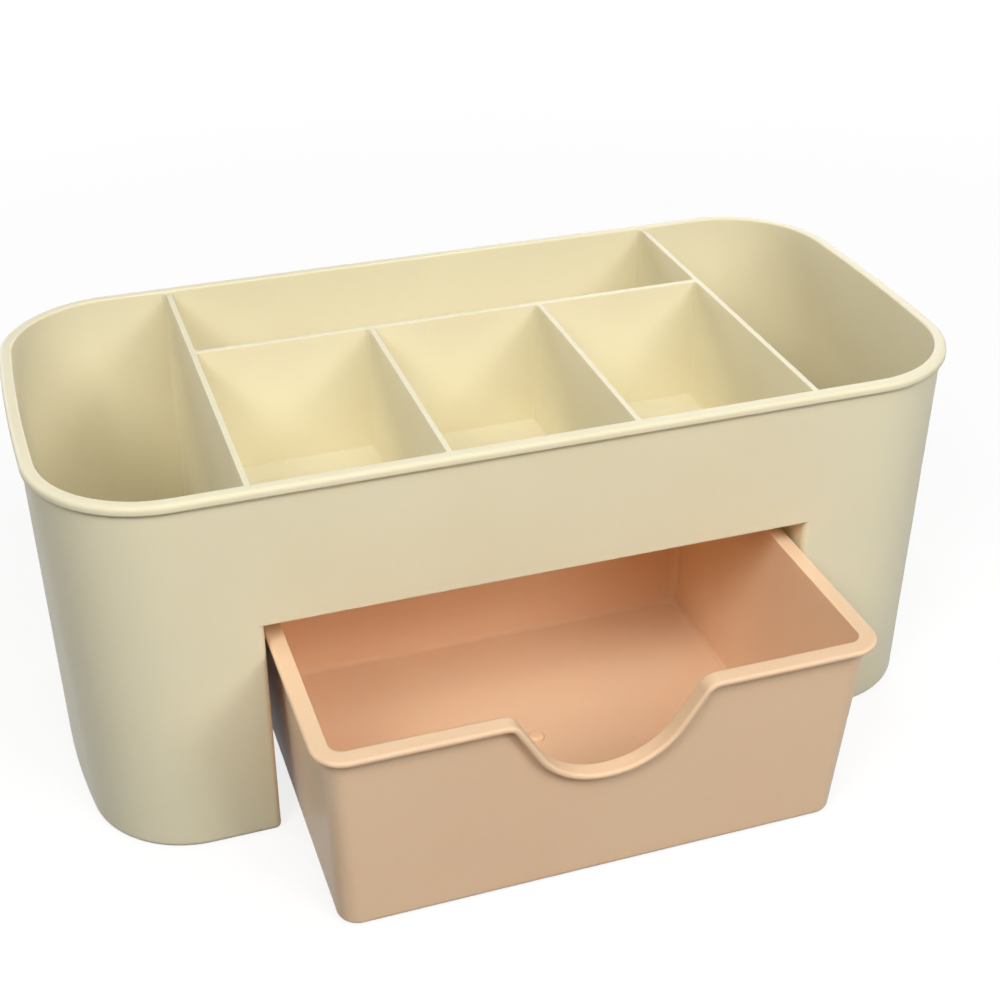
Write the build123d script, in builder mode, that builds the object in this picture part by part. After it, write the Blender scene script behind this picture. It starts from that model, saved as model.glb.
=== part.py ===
import os
from math import atan2, radians, tan

from build123d import *

# Box, over its rim: length left to right, depth front to back, height off the table
box_length = 220.0
box_depth = 109.0
box_height = 93.0
rim_overhang = 1.1
rim_thickness = 2.3
rim_edge_radius = 1.1
rim_lip_radius = 0.6
wall = 1.8
foot_inset = 1.5
foot_edge_radius = 1.5

# Crowned ends: how far their middle stands out, and corner radii as shares of the end bins' width
rim_end_bow = 2.5
foot_end_bow = 7.0
rim_corner_share = 0.62
foot_corner_share = 0.54

# Deep end bins and the walls that close them off
bay_half_width = 64.8
partition_top = 1.3
partition_foot = 2.2
bin_floor = 2.2
bin_corner_radius = 1.2
bin_floor_radius = 1.0

# Shallow cells over the drawer: one along the back, a row in front of it
cell_floor_top = 59.9
cell_floor = 1.6
cell_count = 3
cross_wall = 1.3
cross_wall_middle = 15.1
divider = 1.2
divider_drop = 0.6
cell_draft = 0.6
cell_corner_radius = 0.7
cell_floor_radius = 0.5
top_edge_radius = 0.4

# Drawer bay: rounded lower edges at its sides, and ledges that the drawer's flange runs on
bay_foot_radius = 1.4
ledge_setback = 11.0
ledge_height = 2.6
ledge_play = 0.2
ledge_gap = 0.6

# Drawer, drawn pulled out as it stands in use
drawer_open = 41.0
drawer_bottom = 0.4
drawer_top = 51.7
drawer_side_play = 0.9
drawer_back_play = 0.6
drawer_wall = 1.8
drawer_floor = 1.8
flange_overhang = 2.2
flange_thickness = 1.5
flange_edge_radius = 0.6
drawer_side_inset = 2.2
drawer_front_inset = 5.0
drawer_corner_radius = 5.0
drawer_foot_radius = 1.6
drawer_inside_radius = 1.4

# Finger scoop in the drawer front, and the gate mark on its floor
scoop_width = 43.4
scoop_bottom_width = 20.9
scoop_depth = 19.5
scoop_shoulder_radius = 4.0
scoop_bottom_share = 0.97
gate_offset = 1.4
gate_radius = 2.0
gate_height = 1.2
gate_edge_radius = 0.8

# Cuts run past the faces that they open
overrun = 5.0

end_width = box_length / 2 - bay_half_width
rim_corner_radius = rim_corner_share * end_width
foot_corner_radius = foot_corner_share * end_width
wall_top = box_height - divider_drop
bay_top = cell_floor_top - cell_floor
bay_back = box_depth / 2 - rim_overhang - foot_inset - wall
front_face = -box_depth / 2

body_middle = drawer_open / 2

ledge_half_width = bay_half_width - drawer_side_play - flange_overhang + ledge_gap
drawer_back_closed = bay_back - drawer_back_play
drawer_front = front_face - drawer_open
drawer_back = drawer_back_closed - drawer_open
drawer_middle = (drawer_front + drawer_back) / 2
scoop_plane = Plane.XZ.offset(-drawer_middle - body_middle)


def deck(height):
    """Level plane at a height, centred on the box."""
    return Plane(origin=(0, body_middle, height))


def drawer_plan(height, grow):
    """Width, length, middle and corner radius of the drawer's outer wall at a height, grown by a distance."""
    lean = (drawer_top - height) / (drawer_top - drawer_bottom)
    off = flange_overhang + drawer_side_inset * lean - grow
    front = drawer_front + flange_overhang + drawer_front_inset * lean - grow
    back = drawer_back - off
    width = 2 * (bay_half_width - drawer_side_play - off)
    return width, back - front, (front + back) / 2, drawer_corner_radius + grow


def scoop_line(drop):
    """Edge of the drawer front with the scoop dipping in the middle, and lines a distance under it."""
    rise = atan2(scoop_depth, (scoop_width - scoop_bottom_width) / 2)
    spread = drop * tan(rise / 2)
    bottom_radius = scoop_bottom_share * scoop_bottom_width / 2 / tan(rise / 2)
    level = drawer_top - drop
    low = level - scoop_depth
    return FilletPolyline(
        (-box_length, level),
        (-scoop_width / 2 - spread, level),
        (-scoop_bottom_width / 2 - spread, low),
        (scoop_bottom_width / 2 + spread, low),
        (scoop_width / 2 + spread, level),
        (box_length, level),
        radius=(
            scoop_shoulder_radius - drop,
            bottom_radius + drop,
            bottom_radius + drop,
            scoop_shoulder_radius - drop,
        ),
    )


def box_sizes(height, inset):
    """Half length, half depth, end bow and corner radius of the box's wall at a height, set inward."""
    lean = 1 - height / box_height
    off = rim_overhang + foot_inset * lean + inset
    bow = rim_end_bow + (foot_end_bow - rim_end_bow) * lean
    top_radius = rim_corner_radius - rim_overhang
    radius = top_radius + (foot_corner_radius - top_radius) * lean - inset
    return box_length / 2 - off, box_depth / 2 - off, bow, radius


def box_outline(plan, height, inset):
    """Draw the box's wall in a sketch: straight front and back, crowned ends, rounded corners."""
    half_length, half_depth, bow, radius = box_sizes(height, inset)
    corner = half_length - bow
    with BuildLine() as edge:
        for side in (-1, 1):
            ThreePointArc((side * corner, -half_depth), (side * half_length, 0), (side * corner, half_depth))
            Line((-corner, side * half_depth), (corner, side * half_depth))
    make_face(edge.edges())
    fillet(plan.vertices(), radius)


with BuildPart() as body:
    # Outer wall, leaning in towards the foot
    for height in (0, box_height):
        with BuildSketch(deck(height)) as plan:
            box_outline(plan, height, 0)
    loft(ruled=True)
    fillet(body.edges().group_by(Axis.Z)[0], foot_edge_radius)

    # Rim bead
    with BuildSketch(deck(box_height)) as plan:
        box_outline(plan, box_height, -rim_overhang)
    extrude(amount=-rim_thickness)
    for end, radius in ((0, rim_lip_radius), (-1, rim_edge_radius)):
        rim_sides = body.faces().filter_by_position(
            Axis.Z, box_height - rim_thickness, box_height, inclusive=(False, False)
        )
        fillet(rim_sides.edges().group_by(Axis.Z)[end], radius)

    # Partitions, cross wall and dividers stop a little under the rim
    with BuildSketch(deck(wall_top)) as plan:
        box_outline(plan, wall_top, wall)
    extrude(amount=divider_drop, mode=Mode.SUBTRACT)

    # Deep bin at each end
    for side in (-1, 1):
        for height, thick in ((bin_floor, partition_foot), (wall_top, partition_top)):
            inner_edge = bay_half_width + thick
            with BuildSketch(deck(height)) as plan:
                box_outline(plan, height, wall)
                with Locations((side * (inner_edge + box_length / 2), 0)):
                    Rectangle(box_length, box_depth, mode=Mode.INTERSECT)
                corners = plan.vertices().sort_by(Axis.X, reverse=side < 0)[:2]
                fillet(corners, bin_corner_radius)
        loft(ruled=True, mode=Mode.SUBTRACT)
    bin_edges = body.edges().filter_by_position(Axis.Z, bin_floor, bin_floor)
    fillet(bin_edges, bin_floor_radius)

    # Row of cells in front of the cross wall, then the long cell behind it
    cell_end = box_sizes(wall_top, wall)[1]
    row_back = cross_wall_middle - cross_wall / 2
    row_pitch = (2 * bay_half_width + divider) / cell_count
    top_corner = cell_corner_radius + (wall_top - cell_floor_top) * tan(radians(cell_draft))
    with BuildSketch(deck(wall_top)):
        with Locations((0, (row_back - cell_end) / 2)):
            with GridLocations(row_pitch, 0, cell_count, 1):
                RectangleRounded(row_pitch - divider, row_back + cell_end, top_corner)
        long_front = cross_wall_middle + cross_wall / 2
        with Locations((0, (long_front + cell_end) / 2)):
            RectangleRounded(2 * bay_half_width, cell_end - long_front, top_corner)
    extrude(amount=cell_floor_top - wall_top, taper=cell_draft, mode=Mode.SUBTRACT)
    cell_edges = body.edges().filter_by_position(Axis.Z, cell_floor_top, cell_floor_top)
    fillet(cell_edges, cell_floor_radius)

    # Drawer bay under the cells, open at the front and underneath
    with BuildSketch(deck(0)):
        with Locations((0, (front_face + bay_back) / 2)):
            Rectangle(2 * bay_half_width, bay_back - front_face)
    extrude(amount=bay_top, mode=Mode.SUBTRACT)
    bay_feet = body.edges(Select.LAST).filter_by(Axis.Y).group_by(Axis.Z)[0]
    fillet(bay_feet, bay_foot_radius)

    # Ledge along each side of the bay, under the drawer's flange
    ledge_top = drawer_top - flange_thickness - ledge_play
    ledge_front = front_face + rim_overhang + ledge_setback
    for side in (-1, 1):
        with BuildSketch(deck(ledge_top)):
            with Locations((side * (ledge_half_width + bay_half_width) / 2, (ledge_front + bay_back) / 2)):
                Rectangle(bay_half_width - ledge_half_width, bay_back - ledge_front)
        extrude(amount=-ledge_height)

    # Rounded inner edge of the rim
    top_face = body.faces().sort_by(Axis.Z)[-1]
    fillet(top_face.inner_wires().edges(), top_edge_radius)

with BuildPart() as drawer:
    # Flange: its band dips with the scoop in front and runs level behind
    with BuildSketch(scoop_plane):
        with BuildLine():
            upper = scoop_line(0)
            lower = scoop_line(flange_thickness)
            Line(upper @ 0, lower @ 0)
            Line(upper @ 1, lower @ 1)
        make_face()
    extrude(amount=box_length)
    with BuildSketch(scoop_plane):
        with Locations((0, drawer_top - flange_thickness / 2)):
            Rectangle(2 * box_length, flange_thickness)
    extrude(amount=-box_length)
    for height in (drawer_bottom, drawer_top):
        width, length, middle, radius = drawer_plan(height, flange_overhang)
        with BuildSketch(deck(height)):
            with Locations((0, middle)):
                RectangleRounded(width, length, radius)
    loft(ruled=True, mode=Mode.INTERSECT)
    standing = drawer.faces().filter_by(GeomType.BSPLINE)
    level = drawer.faces().filter_by(GeomType.BSPLINE, reverse=True)
    fillet(standing.edges() & level.edges(), flange_edge_radius)

    # Walls, lower where the scoop dips
    for height in (drawer_bottom, drawer_top):
        width, length, middle, radius = drawer_plan(height, 0)
        with BuildSketch(deck(height)):
            with Locations((0, middle)):
                RectangleRounded(width, length, radius)
    loft(ruled=True)
    fillet(drawer.edges().group_by(Axis.Z)[0], drawer_foot_radius)
    with BuildSketch(scoop_plane):
        with BuildLine():
            edge = scoop_line(0)
            Polyline(
                edge @ 0,
                edge @ 0 + Vector(0, overrun, 0),
                edge @ 1 + Vector(0, overrun, 0),
                edge @ 1,
            )
        make_face()
    extrude(amount=box_length, mode=Mode.SUBTRACT)

    # Inside
    floor_top = drawer_bottom + drawer_floor
    for height in (floor_top, drawer_top):
        width, length, middle, radius = drawer_plan(height, -drawer_wall)
        with BuildSketch(deck(height)):
            with Locations((0, middle)):
                RectangleRounded(width, length, radius)
    loft(ruled=True, mode=Mode.SUBTRACT)
    fillet(drawer.edges().filter_by_position(Axis.Z, floor_top, floor_top), drawer_inside_radius)

    # Gate mark
    floor_middle = drawer_plan(floor_top, -drawer_wall)[2]
    with BuildSketch(deck(floor_top)):
        with Locations((gate_offset, floor_middle)):
            Circle(gate_radius)
    extrude(amount=gate_height)
    gate_top = floor_top + gate_height
    fillet(drawer.edges().filter_by_position(Axis.Z, gate_top, gate_top), gate_edge_radius)

drawer.part.label = "drawer"
body.part.label = "body"

os.makedirs("parts", exist_ok=True)
for piece in (body, drawer):
    export_step(piece.part, f"parts/{piece.part.label}.step")
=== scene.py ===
import math

import bpy
from mathutils import Matrix, Vector

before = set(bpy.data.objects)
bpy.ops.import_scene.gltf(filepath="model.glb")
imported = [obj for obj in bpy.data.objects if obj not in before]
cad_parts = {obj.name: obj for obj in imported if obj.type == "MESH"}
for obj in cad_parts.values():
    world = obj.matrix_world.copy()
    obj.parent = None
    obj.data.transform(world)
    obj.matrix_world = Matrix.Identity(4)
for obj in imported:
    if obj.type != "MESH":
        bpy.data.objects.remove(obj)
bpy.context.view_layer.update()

scene = bpy.context.scene
scene.view_settings.view_transform = "Standard"

white = (1.0, 1.0, 1.0, 1.0)


def nodes_of(owner):
    """The node tree of a material or world, emptied."""
    owner.use_nodes = True
    tree = owner.node_tree
    tree.nodes.clear()
    return tree


def node(tree, kind, inputs=None, **settings):
    """A new node. Each input is a plain value or the socket that feeds it."""
    made = tree.nodes.new(kind)
    for name, value in settings.items():
        setattr(made, name, value)
    for key, value in (inputs or {}).items():
        socket = made.inputs[key]
        if isinstance(value, bpy.types.NodeSocket):
            tree.links.new(value, socket)
        else:
            socket.default_value = value
    return made


def srgb(r, g, b):
    """Display values from 0 to 255 as a linear colour."""
    out = []
    for v in (r, g, b):
        v /= 255
        out.append(v / 12.92 if v <= 0.04045 else ((v + 0.055) / 1.055) ** 2.4)
    return (*out, 1.0)


# Moulded polypropylene, with lengths in metres and noise scales per metre
plastic_ior = 1.49
light_depth = 0.0007
cloud_scale = 22.0
deep_at, base_at, pale_at = 0.15, 0.5, 0.85
smear_scale = 60.0
smear_from, smear_to = 0.3, 0.7
smear_swing = 0.03
peel_scale = 900.0
peel_strength = 0.05
peel_height = 0.0004
edge_radius = 0.0003
edge_samples = 6


def noise(tree, where, scale, detail, roughness):
    """Noise that stays fixed to the piece."""
    return node(
        tree, "ShaderNodeTexNoise",
        {"Vector": where, "Scale": scale, "Detail": detail, "Roughness": roughness},
    ).outputs["Fac"]


def plastic(name, base, pale, deep, roughness, sheen):
    """Plastic that light soaks into, with a slightly clouded colour and a soft, smeared gloss."""
    material = bpy.data.materials.new(name)
    tree = nodes_of(material)
    where = node(tree, "ShaderNodeTexCoord").outputs["Object"]

    cloud = noise(tree, where, cloud_scale, detail=3.0, roughness=0.5)
    colour = node(tree, "ShaderNodeValToRGB", {"Fac": cloud})
    stops = colour.color_ramp.elements
    stops[0].position = deep_at
    stops[0].color = deep
    stops[1].position = pale_at
    stops[1].color = pale
    stops.new(base_at).color = base

    smear = noise(tree, where, smear_scale, detail=4.0, roughness=0.6)
    gloss = node(
        tree, "ShaderNodeMapRange",
        {"Value": smear, "From Min": smear_from, "From Max": smear_to,
         "To Min": roughness - smear_swing, "To Max": roughness + smear_swing},
    )

    peel = noise(tree, where, peel_scale, detail=2.0, roughness=0.5)
    soft_edge = node(tree, "ShaderNodeBevel", {"Radius": edge_radius}, samples=edge_samples)
    bump = node(
        tree, "ShaderNodeBump",
        {"Height": peel, "Strength": peel_strength, "Distance": peel_height,
         "Normal": soft_edge.outputs["Normal"]},
    )

    shader = node(
        tree, "ShaderNodeBsdfPrincipled",
        {"Base Color": colour.outputs["Color"], "Roughness": gloss.outputs["Result"],
         "IOR": plastic_ior, "Specular IOR Level": sheen, "Normal": bump.outputs["Normal"],
         "Subsurface Weight": 1.0, "Subsurface Radius": (1.0, 1.0, 1.0),
         "Subsurface Scale": light_depth},
    )
    node(tree, "ShaderNodeOutputMaterial", {"Surface": shader.outputs["BSDF"]})
    return material


def dress(name, material):
    """Give one piece its material."""
    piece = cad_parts[name]
    piece.data.materials.clear()
    piece.data.materials.append(material)


dress("body", plastic(
    "cream_plastic", base=srgb(240, 232, 202), pale=srgb(242, 235, 206), deep=srgb(237, 228, 197),
    roughness=0.44, sheen=0.12,
))
dress("drawer", plastic(
    "peach_plastic", base=srgb(252, 212, 177), pale=srgb(254, 215, 181), deep=srgb(249, 208, 172),
    roughness=0.42, sheen=0.16,
))


def seen(tree):
    """1 for rays that show the background itself: straight to the camera, or by way of gloss or glass."""
    path = node(tree, "ShaderNodeLightPath").outputs
    either = node(
        tree, "ShaderNodeMath", {0: path["Is Camera Ray"], 1: path["Is Glossy Ray"]}, operation="MAXIMUM"
    )
    return node(
        tree, "ShaderNodeMath", {0: either.outputs[0], 1: path["Is Transmission Ray"]}, operation="MAXIMUM"
    ).outputs[0]


# White table that takes the object's soft shadow near it and turns pure white further off
table_half_side = 3.0
table_grey = 0.2
glow_near, glow_far = 0.82, 1.0
near_radius, far_radius = 0.3, 1.2


def table_material():
    """White to whoever looks at it, and grey to the light that falls on it."""
    material = bpy.data.materials.new("table")
    tree = nodes_of(material)
    where = node(tree, "ShaderNodeTexCoord").outputs["Object"]
    from_middle = node(tree, "ShaderNodeVectorMath", {0: where}, operation="LENGTH")
    whitening = node(
        tree, "ShaderNodeMapRange",
        {"Value": from_middle.outputs["Value"], "From Min": near_radius, "From Max": far_radius,
         "To Min": glow_near, "To Max": glow_far},
        interpolation_type="SMOOTHSTEP",
    )
    strength = node(
        tree, "ShaderNodeMath", {0: seen(tree), 1: whitening.outputs["Result"]}, operation="MULTIPLY"
    )
    glow = node(tree, "ShaderNodeEmission", {"Color": white, "Strength": strength.outputs[0]})
    matt = node(tree, "ShaderNodeBsdfDiffuse", {"Color": (table_grey, table_grey, table_grey, 1.0)})
    both = node(tree, "ShaderNodeAddShader", {0: glow.outputs[0], 1: matt.outputs[0]})
    node(tree, "ShaderNodeOutputMaterial", {"Surface": both.outputs[0]})
    return material


corners = [(x * table_half_side, y * table_half_side, 0) for x, y in ((-1, -1), (1, -1), (1, 1), (-1, 1))]
mesh = bpy.data.meshes.new("table")
mesh.from_pydata(corners, [], [(0, 1, 2, 3)])
table = bpy.data.objects.new("table", mesh)
scene.collection.objects.link(table)
table.data.materials.append(table_material())

# World: a faint even fill, white where it is seen
fill_strength = 0.02
seen_strength = 1.0
world = bpy.data.worlds.new("studio")
scene.world = world
tree = nodes_of(world)
sky_strength = node(
    tree, "ShaderNodeMapRange", {"Value": seen(tree), "To Min": fill_strength, "To Max": seen_strength}
)
sky = node(tree, "ShaderNodeBackground", {"Color": white, "Strength": sky_strength.outputs[0]})
node(tree, "ShaderNodeOutputWorld", {"Surface": sky.outputs["Background"]})

# Soft boxes round the object, all aimed a little in front of its middle
aim = Vector((0.0, -0.02, 0.03))
lamp_distance = 1.28
lamp_side = 0.5


def lamp(name, azimuth, elevation, power):
    """Soft box in a direction: azimuth 0 is in front of the drawer and 90 to the right of it."""
    light = bpy.data.lights.new(name, "AREA")
    light.shape = "SQUARE"
    light.size = lamp_side
    light.energy = power
    turn, lift = math.radians(azimuth), math.radians(elevation)
    away = Vector((math.sin(turn) * math.cos(lift), -math.cos(turn) * math.cos(lift), math.sin(lift)))
    holder = bpy.data.objects.new(name, light)
    scene.collection.objects.link(holder)
    holder.location = aim + lamp_distance * away
    holder.rotation_mode = "QUATERNION"
    holder.rotation_quaternion = away.to_track_quat("Z", "Y")


lamp("front", azimuth=5, elevation=50, power=4.8)
lamp("front_left", azimuth=-45, elevation=45, power=7.2)
lamp("front_right", azimuth=30, elevation=35, power=5.6)
lamp("right", azimuth=70, elevation=45, power=0.9)
lamp("back_left", azimuth=-150, elevation=15, power=4.5)
lamp("back_right", azimuth=150, elevation=15, power=4.5)
lamp("overhead", azimuth=0, elevation=89, power=0.8)

# Camera at the photograph's angle, as fitted to it; its place is measured from the middle of the body
body_middle_y = 0.0205
camera_place = Vector((-0.11123, -0.35512 + body_middle_y, 0.27022))
yaw, pitch, roll = (math.radians(v) for v in (18.781, 30.309, -0.137))
photo_side = 1000
focal_pixels = 1703.49
axis_pixel_x, axis_pixel_y = 511.92, 481.44

forward = Vector((math.sin(yaw) * math.cos(pitch), math.cos(yaw) * math.cos(pitch), -math.sin(pitch)))
right = Vector((math.cos(yaw), -math.sin(yaw), 0))
up = right.cross(forward)
right_rolled = right * math.cos(roll) + up * math.sin(roll)
up_rolled = up * math.cos(roll) - right * math.sin(roll)
camera_data = bpy.data.cameras.new("camera")
camera_data.sensor_width = 36
camera_data.lens = focal_pixels / photo_side * camera_data.sensor_width
camera_data.shift_x = (photo_side / 2 - axis_pixel_x) / photo_side
camera_data.shift_y = (axis_pixel_y - photo_side / 2) / photo_side
camera_data.clip_start = 0.01
camera = bpy.data.objects.new("camera", camera_data)
scene.collection.objects.link(camera)
axes = Matrix((right_rolled, up_rolled, -forward)).transposed().to_4x4()
camera.matrix_world = Matrix.Translation(camera_place) @ axes
scene.camera = camera
